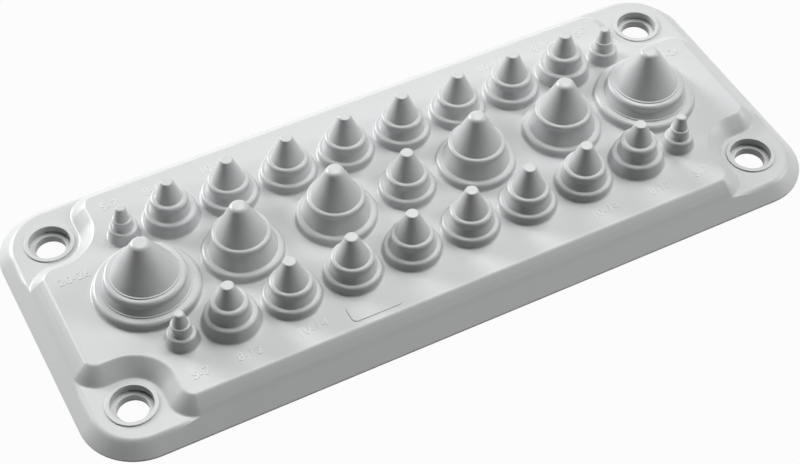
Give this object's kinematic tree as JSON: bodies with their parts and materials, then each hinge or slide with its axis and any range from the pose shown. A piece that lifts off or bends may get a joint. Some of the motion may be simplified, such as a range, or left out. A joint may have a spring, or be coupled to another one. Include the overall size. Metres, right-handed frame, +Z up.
{
  "type": "cable entry plate",
  "caption": "Rectangular elastomer plate with rows of closed stepped cone membranes that cables are pushed through, and a stepped screw hole in each lowered corner.",
  "frame": {"origin": "middle of the seat, the plane that lies on the enclosure", "axes": "+X along the plate, +Y across it, +Z up out of the seat, the way the membranes point"},
  "size_m": [0.2304, 0.097, 0.0283],
  "materials": {
    "elastomer": "fine matt moulded surface"
  },
  "bodies": {
    "root": {"entry_plate": "elastomer"}
  },
  "joints": []
}
